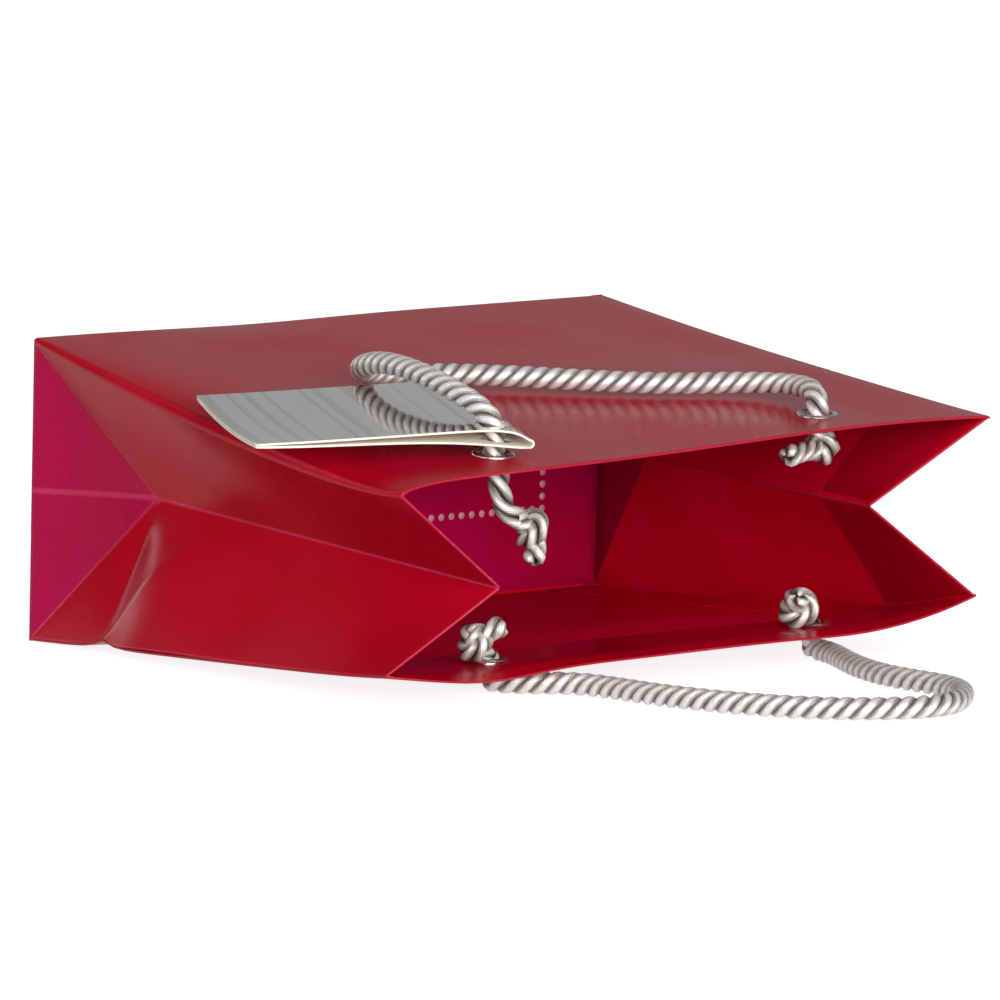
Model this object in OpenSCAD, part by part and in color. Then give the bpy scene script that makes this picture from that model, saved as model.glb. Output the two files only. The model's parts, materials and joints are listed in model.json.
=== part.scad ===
// Gift bag of laminated red paper, lying on its back panel with the mouth towards -Y.
// X runs across the bag, Y along its height with the base at +Y, and Z is up from the floor.

/* [Bag] */
// Width of the front and back panels
bag_w = 165; // [130:1:220]
// Height of the bag from base to mouth
bag_h = 150; // [125:1:220]
// Depth of the base, which is also the full width of a gusset
bag_d = 72; // [60:1:100]
// Thickness of the laminated paper
paper_t = 0.4; // [0.25:0.05:0.6]
// Thickness of the glue between two layers
glue_t = 0.05; // [0.02:0.01:0.1]
// Room left between two sheets where they fold into each other
fold_gap = 0.5; // [0.3:0.1:0.8]

/* [Pose] */
// How far the front panel's mouth edge has sunk below its base crease
front_drop = 17.5; // [8:0.5:24]
// Height of the back panel's mouth edge above the floor
back_lift = 7; // [6.5:0.1:9]
// How far the top of the base leans towards the mouth
base_lean = 3; // [0:0.5:6]
// How far the gusset is pushed in where its diagonal creases meet
gusset_tuck = 10; // [6:0.5:14]

/* [Mouth] */
// Depth of the turned-in hem
hem_d = 32; // [28:1:40]
// Distance from the hem's ends to the sides of the panel
hem_inset = 5; // [4:0.5:12]
// Depth of the card strip inside the hem
board_d = 26; // [24:1:30]
// Thickness of the card strip
board_t = 0.8; // [0.5:0.1:1.2]
// Distance from the card strip's ends to the ends of the hem
board_inset = 3; // [1:0.5:8]

/* [Base] */
// Depth of the two long base flaps
long_flap_d = 46; // [38:1:56]
// Depth of the two short base flaps
short_flap_d = 34; // [20:1:48]
// Cut-back of the short flaps at each corner
short_flap_cut = 12; // [4:1:20]
// Thickness of the stiffening card on the flaps
base_board_t = 1; // [0.6:0.1:1.6]
// Room round the stiffening card
base_board_gap = 2.5; // [1.5:0.5:6]
// Width of the glued side seam
seam_w = 13; // [8:1:20]
// Diameter of a glue dot
dot_d = 1.9; // [1:0.1:2.4]
// Height of a glue dot
dot_t = 0.3; // [0.2:0.05:0.5]
// Distance between glue dots
dot_pitch = 3; // [2.8:0.1:8]
// Distance from the row of dots to the long edges of the base
dot_row_u = 21; // [12:1:28]
// Distance from the column of dots to the short edges of the base
dot_row_x = 18; // [10:1:30]

/* [Eyelets] */
// Distance between the two eyelets of a panel
eyelet_spacing = 92; // [70:1:110]
// Distance from the mouth edge to the eyelets
eyelet_inset = 16; // [14:0.5:20]
// Hole through an eyelet
eyelet_bore = 6.4; // [6.2:0.1:7]
// Wall of an eyelet's barrel
eyelet_wall = 0.4; // [0.3:0.05:0.6]
// Outer diameter of an eyelet's flange
flange_d = 10; // [9:0.1:12]
// Thickness of an eyelet's flange
flange_t = 0.5; // [0.3:0.05:0.6]
// Thickness of the rolled rim inside the bag
roll_t = 0.9; // [0.6:0.1:1.2]
// Room between the barrel and the paper
eyelet_fit = 0.1; // [0.05:0.05:0.2]

/* [Cords] */
// Diameter of the twisted handle cord
cord_d = 5.6; // [4:0.1:5.8]
// Width of a knot
knot_d = 13; // [11:0.5:14]
// Height of a knot
knot_h = 10; // [8.5:0.5:11]
// Sideways place of a knot at its eyelet, towards the left
knot_set = 3; // [0:0.5:4]

/* [Tag] */
// Length of the folded tag
tag_l = 65; // [50:1:80]
// Width of the folded tag
tag_w = 50; // [30:1:60]
// Thickness of the tag's card
tag_t = 0.5; // [0.3:0.05:0.8]
// Space between the two leaves at the fold
tag_gap = 2.6; // [1.6:0.1:4]
// Space between the two leaves at their free ends
tag_end_gap = 0.6; // [0.3:0.1:1.5]
// Turn of the tag on the front panel
tag_turn = -18.5; // [-24:0.5:10]
// Distance from the fold to the middle of the hole
tag_hole_fold = 6.5; // [6:0.5:14]
// Distance from the near edge to the middle of the hole
tag_hole_edge = 6; // [5:0.5:24]
// Diameter of the hole for the cord
tag_hole_d = 6.6; // [6.2:0.1:8]
// Height of the tag above the eyelet's flange
tag_lift = 0.4; // [0.3:0.1:1.5]

/* [Hidden] */
$fn = 48;

// Angles of the three flat faces, and the two long creases of the base
front_fall = asin(front_drop / bag_h);
back_rise = asin(back_lift / bag_h);
lean = asin(base_lean / bag_d);
heel_y = (base_lean + bag_h * cos(front_fall)) / 2;
fold_y = heel_y - base_lean;
fold_z = bag_d * cos(lean);

// Layers at the mouth, counted from the outer face
layer_t = paper_t + glue_t;
stack_t = 2 * paper_t + board_t + 2 * glue_t;
eyelet_v = bag_h - eyelet_inset;
barrel_d = eyelet_bore + 2 * eyelet_wall;
paper_hole_d = barrel_d + 2 * eyelet_fit;

// A point x across the front panel, v down from its base crease and h above its outer face
function front_pt(x, v, h) = [x, fold_y - v * cos(front_fall) - h * sin(front_fall),
                              fold_z - v * sin(front_fall) + h * cos(front_fall)];

// A point x across the back panel, v from its base crease and h above its outer face
function back_pt(x, v, h) = [x, heel_y - v * cos(back_rise) + h * sin(back_rise),
                             v * sin(back_rise) + h * cos(back_rise)];

module on_front() {
  translate([0, fold_y, fold_z]) rotate([front_fall, 0, 0]) children();
}

module on_back() {
  translate([0, heel_y, 0]) rotate([-back_rise, 0, 0]) children();
}

module on_base() {
  translate([0, heel_y, 0]) rotate([lean, 0, 0]) children();
}

// The two eyelet places of a panel lying in the XY plane
module at_eyelets() {
  for (side = [-1, 1]) translate([side * eyelet_spacing / 2, -eyelet_v, 0]) children();
}

// One layer of a panel from v0 to v1 below its base crease, h0 above its outer face
module layer(width, v0, v1, h0, t) {
  difference() {
    translate([-width / 2, -v1, h0]) cube([width, v1 - v0, t]);
    at_eyelets() translate([0, 0, h0 - t]) cylinder(d = paper_hole_d, h = 3 * t);
  }
}

hem_w = bag_w - 2 * hem_inset;
board_w = hem_w - 2 * board_inset;
board_v = bag_h - fold_gap;

module back_panel() {
  color("crimson") on_back() layer(bag_w, 0, bag_h, 0, paper_t);
}

module back_mouth_board() {
  color("lightgray") on_back() layer(board_w, board_v - board_d, board_v, layer_t, board_t);
}

module back_hem() {
  color("crimson") on_back() layer(hem_w, bag_h - hem_d, bag_h, layer_t + board_t + glue_t, paper_t);
}

module front_panel() {
  color("crimson") on_front() layer(bag_w, fold_gap, bag_h, -paper_t, paper_t);
}

module front_mouth_board() {
  color("lightgray") on_front() layer(board_w, board_v - board_d, board_v, -layer_t - board_t, board_t);
}

module front_hem() {
  color("crimson") on_front() layer(hem_w, bag_h - hem_d, bag_h, -stack_t, paper_t);
}

// The lap of the right gusset's back edge, glued to the inside of the back panel
seam_inset = 2.5;
module side_seam_flap() {
  seam_l = bag_h - hem_d - seam_inset - base_stack;
  color("firebrick") on_back()
    translate([bag_w / 2 - seam_inset - seam_w, -base_stack - seam_l, layer_t])
      cube([seam_w, seam_l, paper_t]);
}

// The base: two long flaps over two short flaps, stiffened by a card on their inside
base_stack = 4 * layer_t + base_board_t + fold_gap;
base_board_d = -3 * layer_t - base_board_t;

// A flat plate of the base from u0 to u1 above the heel, its inner face at depth d
module base_plate(width, u0, u1, d, t) {
  translate([-width / 2, d, u0]) cube([width, t, u1 - u0]);
}

module base_front_flap() {
  color("crimson") on_base()
    base_plate(bag_w, bag_d - long_flap_d, bag_d - fold_gap - paper_t, -paper_t, paper_t);
}

module base_back_flap() {
  color("crimson") on_base()
    base_plate(bag_w, paper_t + fold_gap, long_flap_d, -paper_t - layer_t, paper_t);
}

// A short flap turned in from the left gusset, with its corners cut back
module short_flap() {
  low = paper_t + fold_gap;
  high = bag_d - paper_t - fold_gap;
  outer_x = -bag_w / 2 + fold_gap + 2 * sheet_x;
  inner_x = -bag_w / 2 + short_flap_d;
  on_base() translate([0, -2 * layer_t, 0]) rotate([90, 0, 0]) linear_extrude(paper_t)
    polygon([[outer_x, low], [inner_x, low + short_flap_cut],
             [inner_x, high - short_flap_cut], [outer_x, high]]);
}

module base_left_flap() {
  color("firebrick") short_flap();
}

module base_right_flap() {
  color("firebrick") mirror([1, 0, 0]) short_flap();
}

module base_board() {
  margin = base_board_gap + paper_t;
  color("firebrick") on_base()
    base_plate(bag_w - 2 * margin, margin, bag_d - margin, base_board_d, base_board_t);
}

// Dots of glue in a rectangle on the inner face of the stiffening card
module base_glue_dots() {
  span_x = bag_w - 2 * dot_row_x;
  span_u = bag_d - 2 * dot_row_u;
  across = floor(span_x / dot_pitch);
  up = floor(span_u / dot_pitch);
  step_x = span_x / across;
  step_u = span_u / up;
  row = [for (i = [0 : across], u = [0, span_u]) [i * step_x, u]];
  column = [for (j = [1 : up - 1], x = [0, span_x]) [x, j * step_u]];
  color("lightpink") on_base() translate([-span_x / 2, base_board_d, dot_row_u])
    for (p = concat(row, column))
      translate([p.x, 0, p.y]) rotate([90, 0, 0]) cylinder(d = dot_d, h = dot_t, $fn = 16);
}

// Corners of the left gusset: at the base and the mouth, its centre crease and where the diagonals meet
half_gusset = bag_d / 2;
base_front = front_pt(-bag_w / 2, 0, 0);
base_back = back_pt(-bag_w / 2, 0, 0);
mouth_front = front_pt(-bag_w / 2, bag_h, 0);
mouth_back = back_pt(-bag_w / 2, bag_h, 0);
apex_run = sqrt(half_gusset ^ 2 - gusset_tuck ^ 2);
apex = (base_front + base_back) / 2 + [gusset_tuck, -apex_run * cos(lean), -apex_run * sin(lean)];
mouth_half_gap = norm(mouth_front - mouth_back) / 2;
mouth_tuck = sqrt(half_gusset ^ 2 - mouth_half_gap ^ 2);
mouth_mid = (mouth_front + mouth_back) / 2;
crease_l = bag_h - half_gusset;
crease_run = sqrt(crease_l ^ 2 - (mouth_tuck - gusset_tuck) ^ 2 - (apex.z - mouth_mid.z) ^ 2);
mouth_crease = [mouth_mid.x + mouth_tuck, apex.y - crease_run, mouth_mid.z];

// A sheet of paper between two edges, cut to the share u0 to u1 along and w0 to w1 across.
// Its outer face lies on the ruled surface, depth in from it, and its thickness runs along X.
sheet_x = 1.4 * paper_t;
along = 8;
across = 2;
function along_edge(edge, u) = (1 - u) * edge[0] + u * edge[1];
function ruled(edge_a, edge_b, u, w, depth) =
  (1 - w) * along_edge(edge_a, u) + w * along_edge(edge_b, u) + [depth, 0, 0];

module sheet(edge_a, edge_b, u0, u1, w0, w1, depth, flip) {
  per_face = (along + 1) * (across + 1);
  points = [for (d = [0, sheet_x], i = [0 : along], j = [0 : across])
    ruled(edge_a, edge_b, u0 + (u1 - u0) * i / along, w0 + (w1 - w0) * j / across, depth + d)];
  function at(i, j, side) = side * per_face + i * (across + 1) + j;
  rim = concat([for (i = [0 : along - 1]) [i, 0]], [for (j = [0 : across - 1]) [along, j]],
               [for (i = [along : -1 : 1]) [i, across]], [for (j = [across : -1 : 1]) [0, j]]);
  outer = [for (i = [0 : along - 1], j = [0 : across - 1], k = [0, 1])
    k == 0 ? [at(i, j, 0), at(i + 1, j, 0), at(i + 1, j + 1, 0)]
           : [at(i, j, 0), at(i + 1, j + 1, 0), at(i, j + 1, 0)]];
  inner = [for (f = outer) [f[0] + per_face, f[2] + per_face, f[1] + per_face]];
  sides = [for (k = [0 : len(rim) - 1], half = [0, 1])
    let (a = rim[k], b = rim[(k + 1) % len(rim)], a0 = at(a.x, a.y, 0), b0 = at(b.x, b.y, 0))
    half == 0 ? [b0, a0, a0 + per_face] : [b0, a0 + per_face, b0 + per_face]];
  faces = concat(outer, inner, sides);
  polyhedron(points, flip ? [for (f = faces) [f[2], f[1], f[0]]] : faces);
}

front_edge = [base_front, mouth_front];
back_edge = [base_back, mouth_back];
centre_crease = [apex, mouth_crease];
panel_share = (paper_t + fold_gap) / mouth_half_gap;
crease_share = 1 - fold_gap / half_gusset;
foot_share = 2 * fold_gap / bag_h;
hem_share = 1 - hem_d / bag_h;
hem_edge_share = (hem_inset - paper_t) / half_gusset;
hem_crease_share = crease_share - panel_share;

module left_gusset_front() {
  color("crimson") sheet(front_edge, centre_crease, foot_share, 1, panel_share, crease_share, 0, false);
}

module left_gusset_back() {
  color("crimson") sheet(back_edge, centre_crease, foot_share, 1, panel_share, crease_share, 0, true);
}

hem_depth = sheet_x + fold_gap;
module left_gusset_front_hem() {
  color("firebrick")
    sheet(front_edge, centre_crease, hem_share, 1, hem_edge_share, hem_crease_share, hem_depth, false);
}

module left_gusset_back_hem() {
  color("firebrick")
    sheet(back_edge, centre_crease, hem_share, 1, hem_edge_share, hem_crease_share, hem_depth, true);
}

// The flat triangle between the base and the two diagonal creases, pulled clear of its three edges
module left_gusset_foot() {
  middle = (base_front + base_back + apex) / 3;
  shrink = 1 - 2 * (paper_t + 2 * fold_gap) / half_gusset;
  corners = [for (p = [base_front, base_back, apex]) middle + shrink * (p - middle)];
  points = concat(corners, [for (p = corners) p + [sheet_x, 0, 0]]);
  color("mediumvioletred")
    polyhedron(points, [[0, 2, 1], [3, 4, 5], [0, 1, 4], [0, 4, 3],
                        [1, 2, 5], [1, 5, 4], [2, 0, 3], [2, 3, 5]]);
}

module right_gusset_front() {
  mirror([1, 0, 0]) left_gusset_front();
}

module right_gusset_back() {
  mirror([1, 0, 0]) left_gusset_back();
}

module right_gusset_foot() {
  mirror([1, 0, 0]) left_gusset_foot();
}

module right_gusset_front_hem() {
  mirror([1, 0, 0]) left_gusset_front_hem();
}

module right_gusset_back_hem() {
  mirror([1, 0, 0]) left_gusset_back_hem();
}

// A metal eyelet whose flange lies on the outer face at z = 0 and whose rim is rolled inside the bag
module eyelet() {
  color("silver") rotate_extrude() {
    translate([eyelet_bore / 2, -stack_t - roll_t]) square([eyelet_wall, stack_t + roll_t + flange_t]);
    translate([eyelet_bore / 2, 0]) square([(flange_d - eyelet_bore) / 2, flange_t]);
    translate([eyelet_bore / 2, -stack_t - roll_t]) square([2 * roll_t, roll_t]);
  }
}

module at_front_eyelet(side) {
  on_front() translate([side * eyelet_spacing / 2, -eyelet_v, 0]) children();
}

module at_back_eyelet(side) {
  on_back() translate([side * eyelet_spacing / 2, -eyelet_v, 0]) rotate([180, 0, 0]) children();
}

module front_left_eyelet() {
  at_front_eyelet(-1) eyelet();
}

module front_right_eyelet() {
  at_front_eyelet(1) eyelet();
}

module back_left_eyelet() {
  at_back_eyelet(-1) eyelet();
}

module back_right_eyelet() {
  at_back_eyelet(1) eyelet();
}

// An overhand knot below an eyelet: two turns of cord round a core, with the cut end below them
rim_h = -stack_t - roll_t;
knot_cord_d = 0.9 * cord_d;
module knot() {
  turn_r = (knot_d - knot_cord_d) / 2;
  turn_step = knot_h - knot_cord_d - cut_end;
  color("gainsboro") rotate_extrude() {
    for (k = [0, 1]) translate([turn_r, -knot_cord_d / 2 - k * turn_step]) circle(d = knot_cord_d);
    translate([0, -knot_h + cut_end]) square([turn_r, knot_h - cut_end]);
    translate([0, -knot_h]) square([cord_d / 2, knot_h]);
  }
}
cut_end = 1.5;
knot_gap = 0.1;

module front_right_knot() {
  at_front_eyelet(1) translate([-knot_set, 0, rim_h - knot_gap]) knot();
}

module back_left_knot() {
  at_back_eyelet(-1) translate([-knot_set, 0, rim_h - knot_gap]) knot();
}

module back_right_knot() {
  at_back_eyelet(1) translate([-knot_set, 0, rim_h - knot_gap]) knot();
}

// Round tube swept along a route, from ring first to ring last
cord_sides = 10;
function unit(v) = v / norm(v);
function route_dir(route, i) =
  unit(route[min(i + 1, len(route) - 1)] - route[max(i - 1, 0)]);
function turned(normal, dir) = unit(normal - (normal * dir) * dir);
function ring_normals(dirs, first) =
  [for (i = 0, n = turned(first, dirs[0]);
        i < len(dirs);
        n = turned(n, dirs[min(i + 1, len(dirs) - 1)]), i = i + 1) n];

module cord(route, first, last) {
  dirs = [for (i = [0 : len(route) - 1]) route_dir(route, i)];
  normals = ring_normals(dirs, [1, 0, 0]);
  points = [for (i = [first : last], k = [0 : cord_sides - 1])
    let (a = 360 * k / cord_sides)
    route[i] + cord_d / 2 * (cos(a) * normals[i] + sin(a) * cross(dirs[i], normals[i]))];
  rings = last - first;
  end = rings * cord_sides;
  skin = [for (i = [0 : rings - 1], k = [0 : cord_sides - 1], half = [0, 1])
    let (a = i * cord_sides + k, b = i * cord_sides + (k + 1) % cord_sides)
    half == 0 ? [a, a + cord_sides, b] : [b, a + cord_sides, b + cord_sides]];
  caps = concat([for (k = [1 : cord_sides - 2]) [0, k, k + 1]],
                [for (k = [1 : cord_sides - 2]) [end, end + k + 1, end + k]]);
  color("gainsboro") polyhedron(points, concat(skin, caps));
}

// Route of the front handle: x across, s from the eyelets towards the base, h above the front panel
half_spacing = eyelet_spacing / 2;
front_route = [[-half_spacing, 0, rim_h], [-half_spacing, 0, 1], [-half_spacing, 0, 5.4],
               [-47.2, 2.4, 8.2], [-48.4, 8, 10.2], [-48.8, 15.5, 11.4], [-48.7, 23, 12.1],
               [-48.4, 30.5, 12.2], [-48, 38, 11.9], [-47.4, 45, 10.8], [-46.2, 51.5, 8.8], [-43.6, 57, 6.4],
               [-39, 61, 4.4], [-32, 62.6, 3.1], [-22.5, 61, 3], [-12, 57, 3], [0, 50.5, 3], [14, 41, 3],
               [28, 32.5, 3], [39.5, 27.5, 3.3], [46, 22, 3.8], [48.8, 16.4, 4.3], [49.2, 10.6, 4.9],
               [47.8, 4.4, 5], [half_spacing, 0.4, 3], [half_spacing, 0, 0.8], [half_spacing, 0, rim_h]];

// Route of the back handle: x across, s from the eyelets past the mouth, z above the floor
floor_gap = 0.1;
floor_z = cord_d / 2 + floor_gap;
back_root_left = [for (p = [[-half_spacing, 0.3], [-44.2, 4.3], [-40.4, 8], [-36.4, 11.3], [-33.4, 14.6],
                            [-31.8, 18]]) [p.x, p.y, floor_z]];
back_loop = [for (p = [[-30.6, 22], [-29.8, 28], [-29, 35.5], [-27.3, 45], [-24.5, 54.5], [-20.8, 63.5],
                       [-15.8, 73], [-9, 81], [0, 87.5], [9.5, 91], [18.2, 88.8], [25.8, 82], [31.2, 74.3],
                       [33, 66], [32.2, 57], [32, 47], [33.6, 38], [36, 30], [38.4, 24]])
             [p.x, p.y, floor_z]];
back_root_right = [for (p = [[41, 18], [43.2, 13], [44.8, 7.6], [45.8, 3], [half_spacing, 0.3]])
                   [p.x, p.y, floor_z]];

// Route of the slack end inside the bag, under the front left eyelet
tail_route = [[-half_spacing, 0, rim_h - knot_gap], [-half_spacing, 0, -4.2], [-45.7, -0.1, -7],
              [-45.2, -0.3, -9.8], [-44.2, -0.7, -12.4], [-42.2, -1, -14.4], [-39.8, -1, -15.8]];
tail_end = tail_route[len(tail_route) - 1];
tail_fall = tail_route[len(tail_route) - 2] - tail_end;
tail_knot_turn = atan(tail_fall.x / tail_fall.z);

front_path = [for (p = front_route) front_pt(p.x, eyelet_v - p.y, p.z)];
tail_path = [for (p = tail_route) front_pt(p.x, eyelet_v - p.y, p.z)];
back_eyelet_y = back_pt(0, eyelet_v, 0).y;
back_entry = -rim_h;
back_bend_h = -flange_t - floor_gap;
back_path = concat(
  [back_pt(-half_spacing, eyelet_v, back_entry), back_pt(-half_spacing, eyelet_v, back_bend_h)],
  [for (p = concat(back_root_left, back_loop, back_root_right)) [p.x, back_eyelet_y - p.y, p.z]],
  [back_pt(half_spacing, eyelet_v, back_bend_h), back_pt(half_spacing, eyelet_v, back_entry)]);
loop_first = 1 + len(back_root_left);
loop_last = loop_first + len(back_loop) + 1;

module front_handle_cord() {
  cord(front_path, 0, len(front_path) - 1);
}

module back_left_cord_root() {
  cord(back_path, 0, loop_first);
}

module back_handle_cord() {
  cord(back_path, loop_first, loop_last);
}

module back_right_cord_root() {
  cord(back_path, loop_last, len(back_path) - 1);
}

module front_left_tail() {
  cord(tail_path, 0, len(tail_path) - 1);
}

module front_left_knot() {
  on_front() translate([tail_end.x, -eyelet_v + tail_end.y, tail_end.z]) rotate([0, tail_knot_turn, 0])
    translate([0, 0, -knot_gap]) knot();
}

// The tag: two leaves of foiled card joined by a round fold, threaded on the cord at the front left eyelet
leaf_h = flange_t + tag_lift;
fold_r = tag_gap / 2 + tag_t;
leaf_slope = asin((tag_gap - tag_end_gap) / (tag_l - fold_r));

module on_tag() {
  at_front_eyelet(-1) rotate([0, 0, tag_turn])
    translate([tag_hole_fold, tag_w / 2 - tag_hole_edge, leaf_h]) children();
}

// One leaf from the fold at x = 0 to its free end
module leaf() {
  leaf_l = tag_l - fold_r;
  difference() {
    translate([-leaf_l, -tag_w / 2, 0]) cube([leaf_l - fold_r, tag_w, tag_t]);
    translate([-tag_hole_fold, tag_hole_edge - tag_w / 2, -tag_t]) cylinder(d = tag_hole_d, h = 3 * tag_t);
  }
}

module tag_lower_leaf() {
  color("silver") on_tag() {
    leaf();
    translate([-fold_r, -tag_w / 2, 0]) cube([fold_r, tag_w, tag_t]);
    translate([0, 0, fold_r]) rotate([90, 0, 0]) linear_extrude(tag_w, center = true) intersection() {
      difference() {
        circle(r = fold_r);
        circle(r = fold_r - tag_t);
      }
      translate([0, -fold_r]) square(2 * fold_r);
    }
  }
}

module tag_upper_leaf() {
  color("silver") on_tag() translate([0, 0, tag_gap + tag_t]) rotate([0, -leaf_slope, 0]) leaf();
}

back_panel();
back_mouth_board();
back_hem();
side_seam_flap();
base_front_flap();
base_back_flap();
base_left_flap();
base_right_flap();
base_board();
base_glue_dots();
left_gusset_front();
left_gusset_back();
left_gusset_foot();
left_gusset_front_hem();
left_gusset_back_hem();
right_gusset_front();
right_gusset_back();
right_gusset_foot();
right_gusset_front_hem();
right_gusset_back_hem();
front_panel();
front_mouth_board();
front_hem();
front_left_eyelet();
front_right_eyelet();
back_left_eyelet();
back_right_eyelet();
front_left_tail();
front_left_knot();
front_right_knot();
back_left_knot();
back_right_knot();
front_handle_cord();
back_handle_cord();
back_left_cord_root();
back_right_cord_root();
tag_lower_leaf();
tag_upper_leaf();
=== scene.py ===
import json
import math
import bmesh
import bpy
from mathutils import Matrix, Vector
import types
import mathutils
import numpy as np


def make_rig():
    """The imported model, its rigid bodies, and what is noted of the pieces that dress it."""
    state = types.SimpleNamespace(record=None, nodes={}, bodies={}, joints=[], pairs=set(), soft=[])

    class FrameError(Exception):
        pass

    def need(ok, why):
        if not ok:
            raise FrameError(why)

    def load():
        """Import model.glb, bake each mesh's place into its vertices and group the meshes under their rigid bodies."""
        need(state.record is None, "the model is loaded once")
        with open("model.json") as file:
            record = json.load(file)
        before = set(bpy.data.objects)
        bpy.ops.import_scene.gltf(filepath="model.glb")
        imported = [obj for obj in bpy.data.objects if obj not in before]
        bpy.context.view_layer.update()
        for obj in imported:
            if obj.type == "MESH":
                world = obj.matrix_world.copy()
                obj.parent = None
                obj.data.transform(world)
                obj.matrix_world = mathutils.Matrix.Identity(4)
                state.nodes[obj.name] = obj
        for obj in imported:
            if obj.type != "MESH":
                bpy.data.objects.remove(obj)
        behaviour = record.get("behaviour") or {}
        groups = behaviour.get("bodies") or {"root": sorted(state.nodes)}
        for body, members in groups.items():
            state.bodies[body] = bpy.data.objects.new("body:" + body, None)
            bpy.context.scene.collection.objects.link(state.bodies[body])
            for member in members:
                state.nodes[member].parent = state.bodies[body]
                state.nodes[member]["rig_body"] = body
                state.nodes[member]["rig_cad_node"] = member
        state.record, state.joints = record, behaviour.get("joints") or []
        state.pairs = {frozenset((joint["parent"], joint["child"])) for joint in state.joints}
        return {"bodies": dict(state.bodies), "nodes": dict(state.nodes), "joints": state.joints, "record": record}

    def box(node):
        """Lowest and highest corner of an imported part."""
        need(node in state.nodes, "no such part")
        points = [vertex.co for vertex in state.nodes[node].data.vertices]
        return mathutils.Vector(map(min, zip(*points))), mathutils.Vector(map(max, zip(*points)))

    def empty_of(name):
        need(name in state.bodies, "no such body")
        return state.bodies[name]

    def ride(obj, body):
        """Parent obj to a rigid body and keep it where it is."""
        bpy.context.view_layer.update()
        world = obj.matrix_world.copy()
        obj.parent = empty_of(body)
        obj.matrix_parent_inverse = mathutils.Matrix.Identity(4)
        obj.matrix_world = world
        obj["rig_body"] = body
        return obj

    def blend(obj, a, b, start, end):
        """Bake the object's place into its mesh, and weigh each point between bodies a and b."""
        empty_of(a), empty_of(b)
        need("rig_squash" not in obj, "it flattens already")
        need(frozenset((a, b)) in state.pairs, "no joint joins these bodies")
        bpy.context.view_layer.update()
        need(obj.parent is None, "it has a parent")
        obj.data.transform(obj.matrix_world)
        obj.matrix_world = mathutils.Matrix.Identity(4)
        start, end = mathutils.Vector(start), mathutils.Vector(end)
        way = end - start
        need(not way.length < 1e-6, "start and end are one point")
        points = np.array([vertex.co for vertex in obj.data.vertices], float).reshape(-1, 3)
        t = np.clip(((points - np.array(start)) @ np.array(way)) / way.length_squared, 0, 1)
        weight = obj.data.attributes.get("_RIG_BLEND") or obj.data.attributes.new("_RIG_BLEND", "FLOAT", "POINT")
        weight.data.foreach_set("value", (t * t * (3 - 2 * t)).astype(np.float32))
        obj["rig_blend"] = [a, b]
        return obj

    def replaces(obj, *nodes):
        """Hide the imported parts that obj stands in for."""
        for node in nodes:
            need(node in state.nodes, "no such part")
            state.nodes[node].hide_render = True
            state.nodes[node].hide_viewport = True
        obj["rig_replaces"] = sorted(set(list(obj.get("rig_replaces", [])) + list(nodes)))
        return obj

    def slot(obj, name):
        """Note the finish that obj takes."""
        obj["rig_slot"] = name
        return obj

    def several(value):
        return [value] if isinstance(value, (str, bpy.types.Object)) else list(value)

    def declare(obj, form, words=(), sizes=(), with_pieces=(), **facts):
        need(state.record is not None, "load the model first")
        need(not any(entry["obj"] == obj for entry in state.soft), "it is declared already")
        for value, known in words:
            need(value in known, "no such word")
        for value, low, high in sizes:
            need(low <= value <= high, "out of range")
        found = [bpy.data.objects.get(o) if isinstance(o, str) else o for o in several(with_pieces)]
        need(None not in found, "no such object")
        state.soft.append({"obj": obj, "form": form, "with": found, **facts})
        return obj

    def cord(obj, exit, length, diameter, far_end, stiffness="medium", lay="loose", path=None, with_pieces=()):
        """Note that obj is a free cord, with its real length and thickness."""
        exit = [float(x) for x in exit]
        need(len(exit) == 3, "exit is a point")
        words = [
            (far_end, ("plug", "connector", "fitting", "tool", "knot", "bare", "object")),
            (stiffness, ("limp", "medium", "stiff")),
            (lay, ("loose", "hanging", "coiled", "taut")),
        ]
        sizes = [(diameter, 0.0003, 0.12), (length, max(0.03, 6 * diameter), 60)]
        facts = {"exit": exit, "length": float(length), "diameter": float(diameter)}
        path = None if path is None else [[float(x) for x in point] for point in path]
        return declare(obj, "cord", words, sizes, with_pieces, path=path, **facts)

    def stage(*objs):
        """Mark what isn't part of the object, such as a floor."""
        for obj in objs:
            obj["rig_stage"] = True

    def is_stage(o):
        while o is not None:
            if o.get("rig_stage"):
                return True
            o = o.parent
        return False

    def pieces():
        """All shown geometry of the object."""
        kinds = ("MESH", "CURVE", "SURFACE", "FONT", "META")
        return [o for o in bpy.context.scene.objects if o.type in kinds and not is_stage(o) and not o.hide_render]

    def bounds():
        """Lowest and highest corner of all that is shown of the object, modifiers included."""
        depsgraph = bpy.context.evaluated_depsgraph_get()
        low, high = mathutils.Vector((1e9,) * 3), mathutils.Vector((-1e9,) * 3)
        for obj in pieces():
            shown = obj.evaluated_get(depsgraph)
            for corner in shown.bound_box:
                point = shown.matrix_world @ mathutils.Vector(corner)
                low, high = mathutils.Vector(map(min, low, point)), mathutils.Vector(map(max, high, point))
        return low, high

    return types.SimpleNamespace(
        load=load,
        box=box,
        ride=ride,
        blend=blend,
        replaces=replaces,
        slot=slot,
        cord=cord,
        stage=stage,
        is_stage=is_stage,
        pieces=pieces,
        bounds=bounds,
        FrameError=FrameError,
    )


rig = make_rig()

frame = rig.load()
cad_box = [list(corner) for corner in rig.bounds()]

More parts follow.
